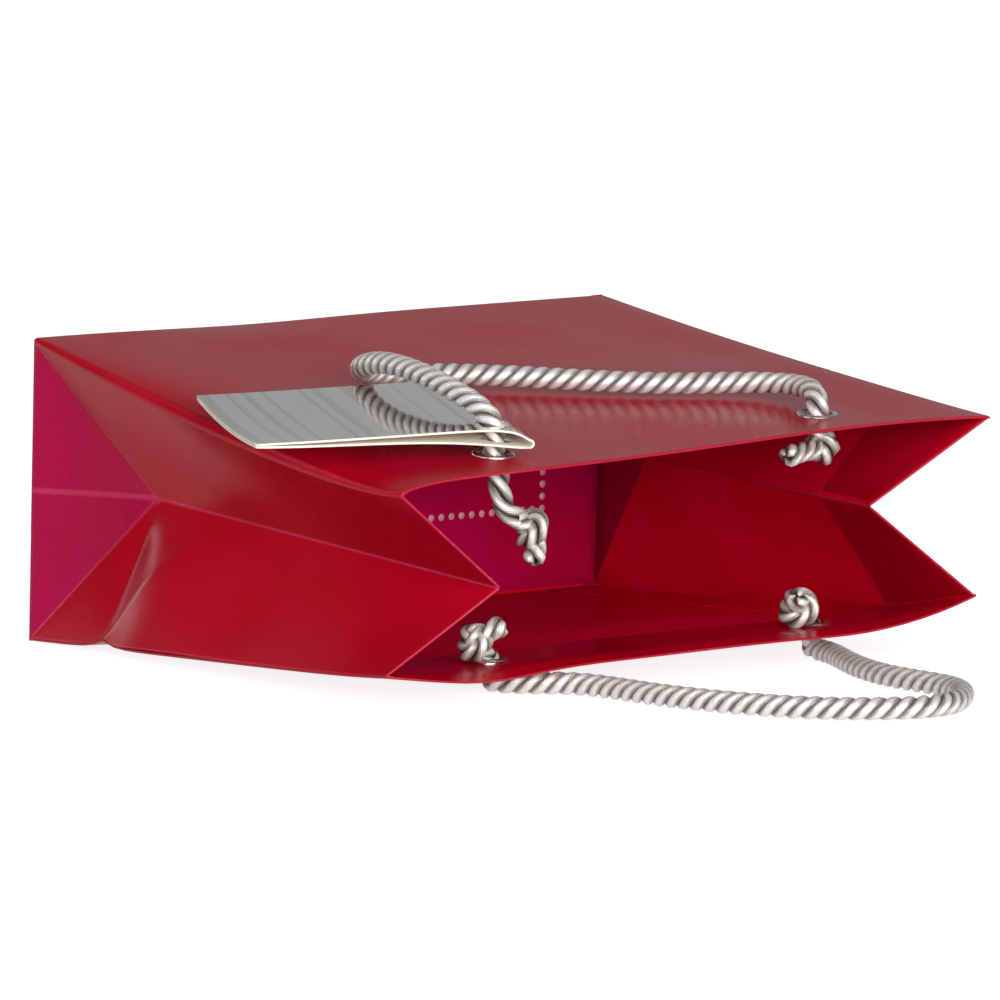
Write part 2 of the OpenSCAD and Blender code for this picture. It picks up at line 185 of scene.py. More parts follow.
# Camera. A long lens to the left of the mouth and just above it, level, placed so that the
# corners of the bag fall where the photograph has them.
mm = 0.001
azimuth = math.radians(-35.93)
elevation = math.radians(7.08)
eye_back = Vector((
    math.sin(azimuth) * math.cos(elevation),
    -math.cos(azimuth) * math.cos(elevation),
    math.sin(elevation),
))
eye_right = Vector((math.cos(azimuth), math.sin(azimuth), 0))
eye_up = eye_back.cross(eye_right)
looked_at = Vector((0, 1.0065, 36))
eye_distance = 2328.75
eye_left = 0.06
eye_lower = 1.24
eye = looked_at + eye_back * eye_distance - eye_right * eye_left - eye_up * eye_lower
camera_data = bpy.data.cameras.new("camera")
camera_data.lens = 360
camera_data.sensor_width = 36
camera = bpy.data.objects.new("camera", camera_data)
eye_turn = Matrix((eye_right, eye_up, eye_back)).transposed()
camera.matrix_world = Matrix.Translation(eye * mm) @ eye_turn.to_4x4()
bpy.context.scene.collection.objects.link(camera)
bpy.context.scene.camera = camera

# Handle cords. Each is a satin silver rope of three strands in a left-hand lay, threaded through
# two eyelets and stopped by a knot inside the mouth. The front one lies on the front panel, the
# back one on the floor. The routes repeat the part's, and the front one follows the panel's sag.
bag_w = 165
bag_h = 150
bag_d = 72
front_drop = 17.5
back_lift = 7
base_lean = 3
eyelet_inset = 16
eyelet_spacing = 92
cord_r = 2.65
cord_lay = 10.5
rope_step = 0.7
half_w = bag_w / 2
front_fall = math.asin(front_drop / bag_h)
back_rise = math.asin(back_lift / bag_h)
joint_at = {joint["name"]: Vector(joint["pos_m"]) / mm for joint in frame["joints"]}
front_fold = joint_at["mouth_fold"]
heel_y = front_fold.y + base_lean
eyelet_v = bag_h - eyelet_inset
eyelet_x = eyelet_spacing / 2
front_out = Vector((0, -math.sin(front_fall), math.cos(front_fall)))
front_down = Vector((0, -math.cos(front_fall), -math.sin(front_fall)))
back_in = Vector((0, math.sin(back_rise), math.cos(back_rise)))
back_down = Vector((0, -math.cos(back_rise), math.sin(back_rise)))


def front_pt(x, v, h):
    """A point x across the front panel, v from its base fold towards the mouth, h above it."""
    return front_fold + Vector((x, 0, 0)) + front_down * v + front_out * h


def back_pt(x, v, h):
    """A point x across the back panel, v from the heel towards the mouth, h inside it."""
    return Vector((x, heel_y, 0)) + back_down * v + back_in * h


lip_twist = 1.7
left_slack = 6.2
corner_flick = 2.3
ripple = 0.3
belly_sag = 1.1
far_dent = 0.7


def front_sag(x, v):
    """How far the front panel stands off its flat plane: twisted at the lip, slack at the left."""
    s = v / bag_h
    edge = x + half_w
    twist = (0.2 + lip_twist * math.sin(math.pi * x / 110)) * s**2.5
    droop = corner_flick * s**12 - left_slack * math.sin(1.9 * s)
    slack = droop * (0.72 * math.exp(-edge / 7) + 0.28 * math.exp(-edge / 35))
    wave = ripple * math.sin(x / 19 + 1) * math.sin(v / 27)
    held = math.sin(math.pi * edge / bag_w) ** 0.5 if 0 < edge < bag_w else 0
    belly = -belly_sag * math.sin(math.pi * s) * held
    far = -far_dent * math.exp(-v / 9) * math.exp(-(((x + 22) / 30) ** 2))
    return twist + slack + wave + belly + far


def rounded(points, step):
    """Points every step along a line that rounds the corners of the given one, and its length."""
    for _ in range(3):
        cut = [points[0]]
        for a, b in zip(points, points[1:]):
            cut += [a.lerp(b, 0.25), a.lerp(b, 0.75)]
        points = cut + [points[-1]]
    reach = [0]
    for a, b in zip(points, points[1:]):
        reach.append(reach[-1] + (b - a).length)
    count = max(2, round(reach[-1] / step))
    even = []
    k = 0
    for n in range(count + 1):
        at = reach[-1] * n / count
        while k < len(points) - 2 and reach[k + 1] < at:
            k += 1
        even.append(points[k].lerp(points[k + 1], (at - reach[k]) / (reach[k + 1] - reach[k])))
    return even, reach[-1]


def lay_grid(made, columns, rows, place, chart):
    """Adds a grid to made with its crossing (i, j) at place(i, j), in mm, and charted as UV."""
    layer = made.loops.layers.uv.verify()
    verts = bmesh.ops.create_grid(made, x_segments=columns, y_segments=rows, size=1)["verts"]
    half = max(vert.co.x for vert in verts)
    at = {}
    for vert in verts:
        across = round((vert.co.x / half + 1) / 2 * columns)
        at[vert] = (across, round((vert.co.y / half + 1) / 2 * rows))
    for vert, cell in at.items():
        vert.co = place(*cell) * mm
    for face in {face for vert in verts for face in vert.link_faces}:
        for loop in face.loops:
            loop[layer].uv = chart(*at[loop.vert])
    made.normal_update()


def piece(name, made, *finishes, sharp=35):
    """A smooth-shaded object of a finished mesh, with its sharp folds and cut edges kept."""
    for face in made.faces:
        face.smooth = True
    for edge in made.edges:
        edge.smooth = edge.is_manifold and edge.calc_face_angle(0) < math.radians(sharp)
    mesh = bpy.data.meshes.new(name)
    made.to_mesh(mesh)
    made.free()
    for finish in finishes:
        mesh.materials.append(finish)
    shown = bpy.data.objects.new(name, mesh)
    bpy.context.scene.collection.objects.link(shown)
    return shown


def rope(name, line, radius, lay, turn, cut=0):
    """Three strands laid round a line, each a closed tube. A cut end is a little frayed and rounded."""
    sides = 10
    strand_share = 0.48
    fray = 0.4
    strand_r = radius * strand_share
    lay_r = radius - strand_r
    tangents = [(b - a).normalized() for a, b in zip(line, line[1:])]
    tangents.append(tangents[-1])
    normals = [tangents[0].orthogonal().normalized()]
    for tangent in tangents[1:]:
        carried = normals[-1] - tangent * normals[-1].dot(tangent)
        normals.append(carried.normalized())
    step = (line[1] - line[0]).length
    full = [1] * len(line)
    for k in range(round(3 * cut / step) + 1 if cut else 0):
        left = k * step / cut
        rounding = math.sqrt(max(0.02, 1 - max(0, 1 - left) ** 2))
        full[-1 - k] = (1 + fray * math.exp(-left * left)) * rounding
    made = bmesh.new()
    for strand in range(3):
        centres = []
        for k, point in enumerate(line):
            angle = turn + strand * math.tau / 3 - math.tau * k * step / lay
            side = tangents[k].cross(normals[k])
            way = normals[k] * math.cos(angle) + side * math.sin(angle)
            centres.append(point + way * lay_r * full[k])

        def on_strand(k, j):
            ahead = centres[min(k + 1, len(centres) - 1)] - centres[max(k - 1, 0)]
            ahead.normalize()
            out = centres[k] - line[k]
            out = (out - ahead * out.dot(ahead)).normalized()
            angle = math.tau * j / sides
            around = out * math.cos(angle) + ahead.cross(out) * math.sin(angle)
            return centres[k] + around * strand_r * full[k]

        lay_grid(made, len(line) - 1, sides, on_strand, lambda k, j: (k * step, j / sides))
    bmesh.ops.remove_doubles(made, verts=made.verts, dist=1e-6)
    bmesh.ops.holes_fill(made, edges=made.edges, sides=sides)
    bmesh.ops.recalc_face_normals(made, faces=made.faces)
    shown = piece(name, made, silver_cord, sharp=70)
    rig.slot(shown, "silver_cord")
    return shown


class Wire:
    """An output in a material's tree. Arithmetic on it adds Math nodes, and node() any other."""

    def __init__(self, tree, socket=None):
        self.tree = tree
        self.socket = socket

    def node(self, kind, settings=None, inputs=None, output=0):
        made = self.tree.nodes.new(kind)
        for name, value in (settings or {}).items():
            setattr(made, name, value)
        for name, value in (inputs or {}).items():
            if isinstance(value, Wire):
                self.tree.links.new(value.socket, made.inputs[name])
            else:
                made.inputs[name].default_value = value
        return Wire(self.tree, made.outputs[output] if len(made.outputs) else None)

    def math(self, operation, *terms):
        return self.node("ShaderNodeMath", {"operation": operation}, dict(enumerate(terms)))

    def __add__(self, other):
        return self.math("ADD", self, other)

    def __sub__(self, other):
        return self.math("SUBTRACT", self, other)

    def __mul__(self, other):
        return self.math("MULTIPLY", self, other)

    __radd__ = __add__
    __rmul__ = __mul__

    def __rsub__(self, other):
        return self.math("SUBTRACT", other, self)

    def ramp(self, low, high):
        """0 below low and 1 above high, with a smooth rise between them."""
        ends = {"Value": self, "From Min": low, "From Max": high}
        return self.node("ShaderNodeMapRange", {"interpolation_type": "SMOOTHSTEP"}, ends)

    def mix(self, first, second):
        """From the first colour to the second as this goes from 0 to 1."""
        return self.node("ShaderNodeMix", {"data_type": "RGBA"}, {0: self, 6: first, 7: second}, 2)

    def noise(self, scale, detail=2):
        """Cloudy values over the object's own coordinates, scale of them to the metre."""
        place = self.node("ShaderNodeTexCoord", output="Object")
        return self.node("ShaderNodeTexNoise", None, {"Vector": place, "Scale": scale, "Detail": detail})

    def chart(self, output):
        """One of the two UV values that the mesh carries."""
        place = self.node("ShaderNodeUVMap")
        return self.node("ShaderNodeSeparateXYZ", None, {"Vector": place}, output)

    def bump(self, height, strength, distance):
        """A normal roughened by a height."""
        relief = {"Strength": strength, "Distance": distance, "Height": height}
        return self.node("ShaderNodeBump", None, relief)

    def surface(self, inputs):
        """The material's Principled shader, by its sockets' names."""
        shader = self.node("ShaderNodeBsdfPrincipled", None, inputs)
        self.node("ShaderNodeOutputMaterial", None, {"Surface": shader})


def finish(name):
    """A new material and the start of its tree."""
    made = bpy.data.materials.new(name)
    made.use_nodes = True
    made.node_tree.nodes.clear()
    return made, Wire(made.node_tree)


silver_cord, wire = finish("silver_cord")
strand_run = wire.chart("X")
strand_round = wire.chart("Y")
filaments = wire.math("SINE", (strand_round * 16 + strand_run * 0.45) * math.tau)
shimmer = wire.noise(900, 3)
thread_tone = (filaments * 0.22 + shimmer).ramp(0.2, 0.85)
# The strand colours follow how each strand faces: a near-black painted shade in the grooves where it turns inwards, a
# dim painted shade on its sides and a painted highlight on its outward crown.
side = thread_tone.mix((0.24, 0.21, 0.19, 1), (0.37, 0.335, 0.31, 1))
painted_crown_highlight = thread_tone.mix((0.66, 0.62, 0.585, 1), (0.84, 0.805, 0.77, 1))
crown = wire.math("COSINE", strand_round * math.tau)
strand = crown.ramp(-0.25, 0.45).mix((0.055, 0.038, 0.033, 1), side)
wire.surface({
    "Base Color": crown.ramp(0.5, 0.98).mix(strand, painted_crown_highlight),
    "Metallic": 0.4,
    "Roughness": 0.3 + shimmer * 0.14,
    "Normal": wire.bump(filaments, 0.4, 0.00012),
})

front_route = [
    (-46, 0, -2.6), (-46, 0, 1), (-46, 0.2, 5.2), (-47.2, 2.4, 8.2), (-48.4, 8, 10.2),
    (-48.8, 15.5, 11.4), (-48.7, 23, 12.1), (-48.4, 30.5, 12.2), (-48, 38, 11.9), (-47.4, 45, 10.8),
    (-46.2, 51.5, 8.8), (-43.6, 57, 6.4), (-39, 61, 4.4), (-32, 62.6, 3.1), (-22.5, 61, 3),
    (-12, 57, 3), (0, 50.5, 3), (14, 41, 3), (28, 32.5, 3), (39.5, 27.5, 3.3), (46, 22, 3.8),
    (48.8, 16.4, 4.3), (49.2, 10.6, 4.9), (47.8, 4.4, 5), (46, 0.4, 3), (46, 0, 0.8), (46, 0, -2.6),
]
front_points = []
for x, s, h in front_route:
    v = eyelet_v - s
    front_points.append(front_pt(x, v, h + max(-0.6, 0.6 * front_sag(x, v))))
front_line, front_length = rounded(front_points, rope_step)
front_rope = rope("front_handle_rope", front_line, cord_r, cord_lay, 0.4)
rope_bend = [front_pt(0, eyelet_v - s, h) for s, h in ((0.77, 0.64), (5.36, 4.5))]
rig.blend(front_rope, "front", "front_handle", rope_bend[0] * mm, rope_bend[1] * mm)
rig.replaces(front_rope, "front_handle_cord")

floor_route = [
    (-46, 0.3), (-44.2, 4.3), (-40.4, 8), (-36.4, 11.3), (-33.4, 14.6), (-31.8, 18), (-30.6, 22),
    (-29.8, 28), (-29, 35.5), (-27.3, 45), (-24.5, 54.5), (-20.8, 63.5), (-15.8, 73), (-9, 81),
    (0, 87.5), (9.5, 91), (18.2, 88.8), (25.8, 82), (31.2, 74.3), (33, 66), (32.2, 57), (32, 47),
    (33.6, 38), (36, 30), (38.4, 24), (41, 18), (43.2, 13), (44.8, 7.6), (45.8, 3), (46, 0.3),
]
back_eyelet_y = back_pt(0, eyelet_v, 0).y
floor_z = 2.9
back_points = [back_pt(-eyelet_x, eyelet_v, 2.6), back_pt(-eyelet_x, eyelet_v, -0.6)]
back_points += [Vector((x, back_eyelet_y - s, floor_z)) for x, s in floor_route]
back_points += [back_pt(eyelet_x, eyelet_v, -0.6), back_pt(eyelet_x, eyelet_v, 2.6)]
back_line, back_length = rounded(back_points, rope_step)
back_rope = rope("back_handle_rope", back_line, cord_r, cord_lay, 1.1)
lift_at = joint_at["back_handle_lift"]
lift_bend = [lift_at + Vector((0, 5, 0)), lift_at - Vector((0, 15, 0))]
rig.blend(back_rope, "bag", "back_handle", lift_bend[0] * mm, lift_bend[1] * mm)
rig.replaces(back_rope, "back_handle_cord", "back_left_cord_root", "back_right_cord_root")

# Slack end and knots. The front cord hangs slack under its left eyelet, and each of the four ends
# is tied round itself and pulled tight, with its cut end standing out a little.
knot_r = 2.4
knot_step = 0.5
knot_fray = 1.8
slack_lay = 17
tail_route = [
    (-46, 0, -2.2), (-45.7, 0, -3.8), (-44.7, 0, -5.6), (-44, -0.1, -7.8), (-43.7, -0.3, -10.2),
    (-43.2, -0.6, -12.8), (-41.6, -0.9, -15), (-38.8, -1, -17),
]
tail_line, _ = rounded([front_pt(x, eyelet_v - s, h) for x, s, h in tail_route], rope_step)
tail_rope = rope("front_left_tail_rope", tail_line, cord_r, slack_lay, 2.0)
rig.ride(tail_rope, "slack_end")
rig.replaces(tail_rope, "front_left_tail")
wrap_turns = [
    (180, 0.2, 4), (180, 0.6, 6.4), (180, 1.7, 7.6), (170, 3, 7.1), (140, 3.3, 6.5), (95, 3.3, 6.1),
    (50, 3.3, 5.8), (5, 3.3, 5.5), (-40, 3.3, 5.2), (-85, 3.3, 4.9), (-130, 3.3, 4.6), (-165, 3, 4.4),
    (-185, 1.9, 4.8), (-190, 0.9, 6.2), (0, 0.3, 7.4),
]


def tie_knot(node, body, lead, axis, face, cut, cut_length, size, turn):
    """A knot past the lead: the cord turns back along axis, wraps itself and leaves by cut."""
    axis = axis.normalized()
    first = (face - axis * face.dot(axis)).normalized()
    second = axis.cross(first)
    points = list(lead)
    for angle, radius, depth in wrap_turns:
        way = first * math.cos(math.radians(angle)) + second * math.sin(math.radians(angle))
        points.append(lead[-1] + (axis * depth + way * radius) * size)
    for _ in range(2):
        points.append(points[-1] + cut.normalized() * cut_length / 2)
    line, _ = rounded(points, knot_step)
    knot = rope(node + "_rope", line, knot_r, cord_lay, turn, knot_fray)
    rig.ride(knot, body)
    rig.replaces(knot, node)
    return knot


near = eye_back
front_left_knot = tie_knot(
    "front_left_knot", "slack_end", [tail_line[-3], tail_line[-1]], Vector((0.8, -0.05, -0.55)), near,
    Vector((-0.33, -0.3, -0.9)), 7, 0.85, 0.3,
)
front_right_knot = tie_knot(
    "front_right_knot", "front",
    [front_pt(46, eyelet_v, -0.8), front_pt(46.4, eyelet_v, -3), front_pt(49.6, eyelet_v, -5.4),
     front_pt(51, eyelet_v, -6.8)],
    Vector((-0.97, -0.1, 0)), near, Vector((-0.97, -0.2, -0.08)), 11.5, 0.62, 1.2,
)
back_left_knot = tie_knot(
    "back_left_knot", "bag",
    [back_pt(-46, eyelet_v, 0.2), back_pt(-46.2, eyelet_v, 1.6), back_pt(-47, eyelet_v, 2.8)],
    Vector((-0.7, -0.15, 0.62)), near, Vector((0.85, -0.4, 0.4)), 8, 0.78, 2.2,
)
back_right_knot = tie_knot(
    "back_right_knot", "bag",
    [back_pt(46, eyelet_v, 0.4), back_pt(45, eyelet_v, 2), back_pt(43.6, eyelet_v, 3)],
    Vector((-0.58, -0.45, 0.68)), Vector((0.2, -0.6, -0.75)), Vector((-0.5, -0.6, 0.62)), 4, 0.9, 0.9,
)
for cord, line, length, ends in (
    (front_rope, front_line, front_length, [tail_rope, front_left_knot, front_right_knot]),
    (back_rope, back_line, back_length, [back_left_knot, back_right_knot]),
):
    path = [point * mm for point in line]
    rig.cord(cord, path[0], length * mm, 2 * cord_r * mm, "object", path=path, with_pieces=ends)

# Back of the bag. One red laminated sheet: the hem turned in over the mouth card and the back
# panel that the bag lies on, turned up at the heel. It dips over the cord's left end, and its
# right mouth corner curls up. Its outside is glossy red, its inside a plainer red that is painted much lighter,
# standing in for the light that reaches into the mouth.
paper_t = 0.26
side_r = 0.5
fold_out = math.radians(115)
heel_r = 1.0
lip_r = 0.28
hem_depth = 1.6
hem_d = 32
hem_inset = 5
hem_opening = 6
corner_curl = 6.6
cord_dip = 1.9
heel_notch = 2.1
corner_back = 4.6


def red_paper(name, dark, light, rough, creased, dust):
    """Red paper: cloudy colour, paler lines along its creases and lips, partly paper whitened by folding and partly a
    painted highlight of the rounded folds, a little wear, faint waviness.
    """
    made, wire = finish(name)
    crease = wire.math("MINIMUM", wire.chart("X"), wire.chart("Y"))
    speckle = wire.noise(2000, 5)
    line = (1 - crease.ramp(0.1, 0.75)) * creased
    worn = line * speckle.ramp(0.5, 0.75) * wire.noise(45).ramp(0.5, 0.75) + speckle.ramp(0.45, 0.85) * dust
    cloud = wire.noise(26, 3)
    red = cloud.ramp(0.3, 0.7).mix(dark, light)
    # Along creases and lips the red turns pale pink: partly paper whitened by folding, partly a painted highlight
    # where the rounded fold catches light.
    crease_whitening_and_highlight = (line * (0.15 + cloud * 0.4)).mix(red, (0.62, 0.075, 0.18, 1))
    wire.surface({
        "Base Color": (worn * 0.55).mix(crease_whitening_and_highlight, (0.78, 0.42, 0.46, 1)),
        "Roughness": rough + cloud.ramp(0.35, 0.65) * 0.09 + worn * 0.3,
        "Specular IOR Level": 0.1,
        "Normal": wire.bump(wire.noise(38, 2) + speckle * 0.012, 0.12, 0.0012),
    })
    return made


red_outside = red_paper("red_paper", (0.37, 0.0007, 0.009, 1), (0.41, 0.0012, 0.015, 1), 0.2, 1, 0.01)
# The inside red is much lighter than the outside's: the paper's plainer back, painted lighter to stand in for the
# light that reaches into the mouth.
red_inside_painted_light = red_paper("red_paper_inside", (0.62, 0.001, 0.014, 1), (0.69, 0.0014, 0.032, 1), 0.32, 0, 0)
cut_edge, wire = finish("cut_paper_edge")
fibre = wire.noise(2600, 3)
wire.surface({
    "Base Color": fibre.mix((0.50, 0.08, 0.12, 1), (0.76, 0.34, 0.38, 1)),
    "Roughness": 0.75,
    "Normal": wire.bump(fibre, 0.3, 0.0001),
})


def back_sag(x, v):
    """How far the back panel stands off its flat plane, to the inside."""
    s = v / bag_h
    edge = x + half_w
    curl = corner_curl * max(0, (x - 40) / 42.5) ** 2 * s**6
    dip = 0.6 * math.exp(-(((x - 25) / 35) ** 2)) - cord_dip * math.exp(-(((x + 57) / 17) ** 2))
    corner = 1.2 * math.exp(-edge / 8) * s**8
    notch = heel_notch * math.exp(-edge / 8) * math.exp(-abs(v - 31) / 4)
    return curl + dip * s**6 + corner + notch


def back_face(x, v, h):
    """The back panel, drawn back at its left mouth corner."""
    return back_pt(x, v - corner_back * math.exp(-(x + half_w) / 7) * (v / bag_h) ** 8, h)


def back_left_r(v):
    """Radius of the back panel's left fold."""
    return side_r


panel_columns = [(0, -turn) for turn in (115, 95, 75, 55, 35, 15)]
panel_columns += [(d / 160, 0) for d in (0, 1.2, 2.7, 4.7, 7.2, 10.2, 14, 18.5, 23.5)]
panel_columns += [(0.175 + 0.825 * k / 26, 0) for k in range(27)]
panel_columns += [(1, turn) for turn in (15, 35, 55, 75, 95, 115)]
panel_rows = [("panel", heel_r, angle) for angle in (90, 70, 50, 30, 12)]
panel_rows += [("panel", v, 0) for v in (heel_r, 2.5, 5, 8.5, 13)]
panel_rows += [("panel", 18 + 4.5 * k, 0) for k in range(28)]
panel_rows += [("panel", v, 0) for v in (143.5, 146.5, 148.5)]
panel_rows += [("lip", 0, angle) for angle in range(0, 181, 30)]
panel_rows += [("hem", bag_h - lip_r - d, 0) for d in (1, 2.5, 4, 6, 9, 14, 19, 25, hem_d - lip_r)]


def panel_sheet(name, panel, sag, left_r, inward):
    """A panel with its side folds, the turn at its base, its mouth lip and the hem inside it."""

    def place(i, j):
        share, turn = panel_columns[i]
        kind, v, angle = panel_rows[j]
        angle = math.radians(angle)
        turn = math.radians(turn)
        radius = left_r(v if kind == "panel" else bag_h) if share < 0.5 else side_r
        start = -half_w + left_r(v if kind == "panel" else bag_h)
        x = start + (half_w - side_r - start) * share
        flat_x = x + math.copysign(radius * math.sin(math.pi / 2 * abs(turn) / fold_out), turn)
        if kind == "hem":
            flat_x *= (half_w - hem_inset) / half_w
            opened = min(1, (bag_h - v) / hem_opening)
            depth = 2 * lip_r + (hem_depth - 2 * lip_r) * opened * opened * (3 - 2 * opened)
            depth *= 1 - 0.8 * abs(turn) / fold_out
            return panel(flat_x, v, sag(flat_x, v) + inward * depth)
        if kind == "lip":
            rolled = (1 - math.cos(angle)) / 2
            flat_x *= 1 - rolled * 0.4 * hem_inset / half_w
            x = (x + radius * math.sin(turn)) * (1 - rolled) + flat_x * rolled
            drop = radius * (1 - math.cos(turn)) * (1 - rolled)
            depth = drop + lip_r * (1 - math.cos(angle))
            return panel(x, bag_h - lip_r + lip_r * math.sin(angle), sag(x, bag_h) + inward * depth)
        out = Vector((math.sin(turn), math.sin(angle), math.cos(turn) * math.cos(angle)))
        out = out.normalized() if angle else out
        deep = heel_r if angle else radius
        return panel(x + radius * out.x, v - heel_r * out.y, sag(x, v) + inward * deep * (1 - out.z))

    def chart(i, j):
        share, turn = panel_columns[i]
        kind, v, angle = panel_rows[j]
        side = bag_w * min(share, 1 - share) + abs(abs(turn) - 45) / 60 + 0.45
        along = {"lip": 0.52, "hem": 5, "panel": min(v, bag_h - v)}[kind]
        return (side + (5 if kind == "hem" else 0), along)

    made = bmesh.new()
    lay_grid(made, len(panel_columns) - 1, len(panel_rows) - 1, place, chart)
    return paper_sheet(name, made, panel(0, 0, -inward) - panel(0, 0, 0))


def paper_sheet(name, made, outward, thickness=paper_t, outside=red_outside, inside=red_inside_painted_light, rim=None):
    """A sheet grown inwards from a mesh of its outer face."""
    made.faces.ensure_lookup_table()
    if made.faces[len(made.faces) // 3].normal.dot(outward) < 0:
        bmesh.ops.reverse_faces(made, faces=made.faces)
    made.normal_update()
    shown = piece(name, made, outside, inside, rim or outside)
    grown = shown.modifiers.new("thickness", "SOLIDIFY")
    grown.thickness = thickness * mm
    grown.offset = -1
    grown.material_offset = 1
    grown.material_offset_rim = 2
    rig.slot(shown, "red_paper")
    return shown


back_sheet = panel_sheet("back_sheet", back_face, back_sag, back_left_r, 1)
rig.ride(back_sheet, "bag")
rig.replaces(back_sheet, "back_panel", "back_hem")

# Mouth cards. A strip of grey card inside each hem stiffens the lip and carries the eyelets. They
# follow the sag of the panels that they are glued to.
board_d = 26
board_t = 0.8
board_inset = 6.2
card_back = 6
glue_t = 0.05
grey_card, wire = finish("grey_card")
pulp = wire.noise(1800, 5)
wire.surface({
    "Base Color": pulp.mix((0.20, 0.19, 0.18, 1), (0.34, 0.33, 0.31, 1)),
    "Roughness": 0.9,
    "Normal": wire.bump(pulp, 0.3, 0.0001),
})


def mouth_card(name, panel, sag, inward, body, node):
    """A card strip a paper's thickness inside its panel, at the mouth."""
    across = 40
    deep = 6
    made = bmesh.new()

    def place(i, j):
        x = (half_w - board_inset) * (2 * i / across - 1)
        v = bag_h - card_back - (board_d - card_back) * j / deep
        return panel(x, v, sag(x, v) + inward * (paper_t + glue_t))

    lay_grid(made, across, deep, place, lambda i, j: (i, j))
    outward = panel(0, 0, -inward) - panel(0, 0, 0)
    card = paper_sheet(name, made, outward, board_t, grey_card, grey_card)
    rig.slot(card, "grey_card")
    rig.ride(card, body)
    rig.replaces(card, node)


mouth_card("back_mouth_card", back_face, back_sag, 1, "bag", "back_mouth_board")

# Base. The long flaps overlap outside, the short ones fold in from the gussets, and a red card
# lies loose on them inside. A row and a column of small glue dots stand on the card.
lean = math.asin(base_lean / bag_d)
base_up = Vector((0, -math.sin(lean), math.cos(lean)))
base_out = Vector((0, math.cos(lean), math.sin(lean)))
flap_d = 46
flap_inset = 0.3
flap_gap = 0.1
flap_swell = 0.18
base_card, wire = finish("base_card")
card_fibre = wire.noise(1500, 4)
card_cloud = wire.noise(30, 2)
wire.surface({
    "Base Color": card_cloud.ramp(0.3, 0.7).mix((0.40, 0.0009, 0.031, 1), (0.44, 0.0012, 0.075, 1)),
    "Roughness": 0.34 + card_fibre * 0.12,
    "Specular IOR Level": 0.06,
    "Normal": wire.bump(card_fibre, 0.08, 0.0001),
})


def base_pt(x, u, d):
    """A point x across the base, u from the heel towards the front, d outside it."""
    return Vector((x, heel_y, 0)) + base_up * u + base_out * d


def base_flap(name, first, last, d, node):
    """A long base flap, glued down flat with a faint swell between its glued lines."""
    across = 48
    deep = 14
    reach = half_w - flap_inset
    made = bmesh.new()

    def place(i, j):
        x = reach * (2 * i / across - 1)
        u = first + (last - first) * j / deep
        swell = flap_swell * math.sin(x / 21) * math.sin(math.pi * j / deep)
        return base_pt(x, u, d + min(0, swell))

    def chart(i, j):
        return (2 * reach * min(i, across - i) / across, abs(last - first) * min(j, deep - j) / deep)

    lay_grid(made, across, deep, place, chart)
    flap = paper_sheet(name, made, base_out, inside=base_card, rim=cut_edge)
    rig.ride(flap, "bag")
    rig.replaces(flap, node)


base_flap("base_back_sheet", heel_r, flap_d, -paper_t - flap_gap, "base_back_flap")
base_flap("base_front_sheet", bag_d - heel_r, bag_d - flap_d, 0, "base_front_flap")
for name, slot in (
    ("base_board", "base_card"),
    ("base_left_flap", "red_paper"),
    ("base_right_flap", "red_paper"),
):
    carried = frame["nodes"][name]
    carried.data.materials.clear()
    carried.data.materials.append(base_card)
    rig.slot(carried, slot)

glue, wire = finish("glue")
milk = wire.noise(900, 2)
wire.surface({
    "Base Color": milk.mix((0.62, 0.22, 0.28, 1), (0.80, 0.42, 0.46, 1)),
    "Roughness": 0.45,
    "Normal": wire.bump(milk, 0.15, 0.0001),
})
dot_r = 0.95
dot_pitch = 3
dot_flat = 0.32
dots_low, dots_high = (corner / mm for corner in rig.box("base_glue_dots"))
row_x = dots_high.x - dot_r
low_u = (dots_low.z + dot_r) / math.cos(lean)
high_u = (dots_high.z - dot_r) / math.cos(lean)
dot_depth = heel_y - low_u * math.sin(lean) - dots_high.y
across = round(2 * row_x / dot_pitch)
up = round((high_u - low_u) / dot_pitch)
dots = [(row_x * (2 * k / across - 1), u) for k in range(across + 1) for u in (low_u, high_u)]
dots += [(x, low_u + (high_u - low_u) * k / up) for k in range(1, up) for x in (-row_x, row_x)]
made = bmesh.new()
for x, u in dots:
    grown = bmesh.ops.create_uvsphere(made, u_segments=8, v_segments=4, radius=dot_r * mm)["verts"]
    bmesh.ops.scale(made, vec=(1, dot_flat, 1), verts=grown)
    bmesh.ops.rotate(made, matrix=Matrix.Rotation(lean, 3, "X"), verts=grown)
    bmesh.ops.translate(made, vec=base_pt(x, u, -dot_depth) * mm, verts=grown)
glue_dots = piece("glue_dots", made, glue)
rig.ride(glue_dots, "bag")
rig.replaces(glue_dots, "base_glue_dots")
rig.slot(glue_dots, "glue")

# Front of the bag. The other long sheet: the front panel, turned over the base crease, slack
# along its soft left fold, with its mouth lip rolled over the card and its hem inside.
corner_pinch = 1.7
left_fold_r = 0.8
left_fold_soft = 1.3


def front_face(x, v, h):
    """The front panel, pinched out to a tip at its right mouth corner."""
    return front_pt(x + corner_pinch * max(0, x / half_w) ** 8 * (v / bag_h) ** 10, v, h)


def front_left_r(v):
    """Radius of the front panel's left fold, softest half way along."""
    return left_fold_r + left_fold_soft * math.sin(math.pi * v / bag_h)


front_sheet = panel_sheet("front_sheet", front_face, front_sag, front_left_r, -1)
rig.ride(front_sheet, "front")
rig.replaces(front_sheet, "front_panel", "front_hem")
mouth_card("front_mouth_card", front_face, front_sag, -1, "front", "front_mouth_board")

